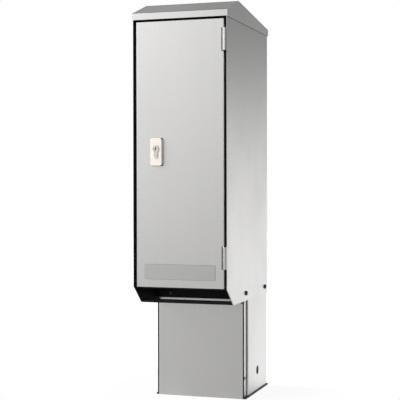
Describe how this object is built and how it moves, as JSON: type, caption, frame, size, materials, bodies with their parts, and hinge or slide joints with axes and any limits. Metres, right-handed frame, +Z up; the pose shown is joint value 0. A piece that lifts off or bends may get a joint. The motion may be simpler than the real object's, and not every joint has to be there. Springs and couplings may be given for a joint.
{
  "type": "roadside utility cabinet",
  "caption": "Tall stainless roadside power cabinet with gabled hood, flush locking door, slanted cable outlet, set-back plinth and an inner socket and breaker panel.",
  "frame": {"origin": "on the ground, in the middle of the four anchor holes in the base plate", "axes": "+X to the right seen from the front, +Y to the back, +Z up; the door faces -Y"},
  "size_m": [0.258, 0.409, 1.039],
  "materials": {
    "dark_steel": "dark coated plate",
    "plinth_steel": "brushed stainless sheet",
    "body_steel": "brushed stainless sheet",
    "hood_steel": "brushed stainless sheet",
    "door_steel": "brushed stainless sheet",
    "label_steel": "satin blank plate",
    "hinge_steel": "satin stainless",
    "screw_steel": "bright zinc",
    "dark_screw": "black coated screw",
    "black_rubber": "matt black rubber",
    "black_panel": "black coated sheet",
    "brass": "plain brass",
    "cream_plastic": "smooth cream",
    "lock_metal": "satin nickel",
    "dark_plastic": "matt moulded",
    "grey_plastic": "matt moulded",
    "red_plastic": "matt moulded",
    "blue_plastic": "matt moulded",
    "yellow_plastic": "matt moulded",
    "clear_plastic": "clear moulded"
  },
  "bodies": {
    "cabinet": {"base_plate": "dark_steel", "plinth_shell": "plinth_steel", "plinth_cover": "plinth_steel", "cover_screws": "screw_steel", "side_plugs": "black_rubber", "cabinet_shell": "body_steel", "body_screws": "dark_screw", "body_nuts": "screw_steel", "roof_hood": "hood_steel", "hood_nuts": "screw_steel", "outlet_bar": "screw_steel", "outlet_trim": "black_rubber", "outlet_lining": "black_panel", "door_frame": "black_panel", "door_seal": "black_rubber", "hinge_body_leaves": "hinge_steel", "hinge_pins": "screw_steel", "hinge_washers": "hinge_steel", "rod_keepers": "body_steel", "panel_rails": "body_steel", "inner_panel": "black_panel", "panel_screws": "dark_screw", "gland_plate": "body_steel", "cable_gland": "dark_plastic", "rear_plate": "body_steel", "terminal_block": "grey_plastic", "earth_bar": "brass", "mounting_rail": "screw_steel", "rail_brackets": "screw_steel", "residual_switch": "grey_plastic", "breakers": "grey_plastic", "window_bezel": "dark_plastic", "round_socket_left": "red_plastic", "round_socket_right": "red_plastic", "square_socket_left": "blue_plastic", "square_socket_right": "blue_plastic", "lid_pins": "screw_steel"},
    "door": {"door_panel": "door_steel", "door_stiffener": "door_steel", "hinge_door_leaves": "hinge_steel", "escutcheon": "cream_plastic", "escutcheon_screws": "screw_steel", "lock_cylinder": "lock_metal", "lock_case": "door_steel", "rod_guides": "door_steel", "label_plate": "label_steel"},
    "lock": {"lock_plug": "lock_metal", "lock_wheel": "screw_steel"},
    "upper_rod": {"upper_rod": "screw_steel"},
    "lower_rod": {"lower_rod": "screw_steel"},
    "round_lid_left": {"round_lid_left": "red_plastic"},
    "round_lid_right": {"round_lid_right": "red_plastic"},
    "square_lid_left": {"square_lid_left": "blue_plastic"},
    "square_lid_right": {"square_lid_right": "blue_plastic"},
    "breaker_window": {"breaker_window": "clear_plastic"},
    "switch_toggle": {"switch_toggle": "blue_plastic"},
    "test_button": {"test_button": "yellow_plastic"},
    "breaker_toggle_left": {"breaker_toggle_left": "dark_plastic"},
    "breaker_toggle_right": {"breaker_toggle_right": "dark_plastic"}
  },
  "joints": [
    {"name": "door_hinge", "type": "hinge", "parent": "cabinet", "child": "door", "pos_m": [0.12025, -0.2886, 0.644], "axis": [0, 0, 1], "range_deg": [0, 120]},
    {"name": "lock_turn", "type": "hinge", "parent": "door", "child": "lock", "pos_m": [-0.06, -0.283, 0.659], "axis": [0, -1, 0], "range_deg": [0, 90]},
    {"name": "upper_rod_slide", "type": "slide", "parent": "door", "child": "upper_rod", "axis": [0, 0, 1], "range_m": [0, 0.0199]},
    {"name": "lower_rod_slide", "type": "slide", "parent": "door", "child": "lower_rod", "axis": [0, 0, -1], "range_m": [0, 0.0199]},
    {"name": "round_lid_left_hinge", "type": "hinge", "parent": "cabinet", "child": "round_lid_left", "pos_m": [-0.052, -0.1553, 0.759], "axis": [-1, 0, 0], "range_deg": [0, 100], "stiffness_Nm_per_rad": 0.1, "springref_deg": -11.46},
    {"name": "round_lid_right_hinge", "type": "hinge", "parent": "cabinet", "child": "round_lid_right", "pos_m": [0.052, -0.1553, 0.759], "axis": [-1, 0, 0], "range_deg": [0, 100], "stiffness_Nm_per_rad": 0.1, "springref_deg": -11.46},
    {"name": "square_lid_left_hinge", "type": "hinge", "parent": "cabinet", "child": "square_lid_left", "pos_m": [-0.045, -0.1293, 0.631], "axis": [-1, 0, 0], "range_deg": [0, 100], "stiffness_Nm_per_rad": 0.1, "springref_deg": -11.46},
    {"name": "square_lid_right_hinge", "type": "hinge", "parent": "cabinet", "child": "square_lid_right", "pos_m": [0.045, -0.1293, 0.631], "axis": [-1, 0, 0], "range_deg": [0, 100], "stiffness_Nm_per_rad": 0.1, "springref_deg": -11.46},
    {"name": "breaker_window_hinge", "type": "hinge", "parent": "cabinet", "child": "breaker_window", "pos_m": [0, -0.1273, 0.918], "axis": [-1, 0, 0], "range_deg": [0, 105]},
    {"name": "switch_toggle_tip", "type": "hinge", "parent": "cabinet", "child": "switch_toggle", "pos_m": [-0.0181, -0.106, 0.871], "axis": [1, 0, 0], "range_deg": [0, 60]},
    {"name": "breaker_toggle_left_tip", "type": "hinge", "parent": "cabinet", "child": "breaker_toggle_left", "pos_m": [0.0089, -0.106, 0.871], "axis": [1, 0, 0], "range_deg": [0, 60]},
    {"name": "breaker_toggle_right_tip", "type": "hinge", "parent": "cabinet", "child": "breaker_toggle_right", "pos_m": [0.0269, -0.106, 0.871], "axis": [1, 0, 0], "range_deg": [0, 60]},
    {"name": "test_button_press", "type": "slide", "parent": "cabinet", "child": "test_button", "axis": [0, 1, 0], "range_m": [0, 0.002], "stiffness_N_per_m": 300, "springref_m": -0.001}
  ],
  "couplings": [
    {"joint": "upper_rod_slide", "follows": "lock_turn", "m_per_rad": 0.012604},
    {"joint": "lower_rod_slide", "follows": "lock_turn", "m_per_rad": 0.012604}
  ]
}
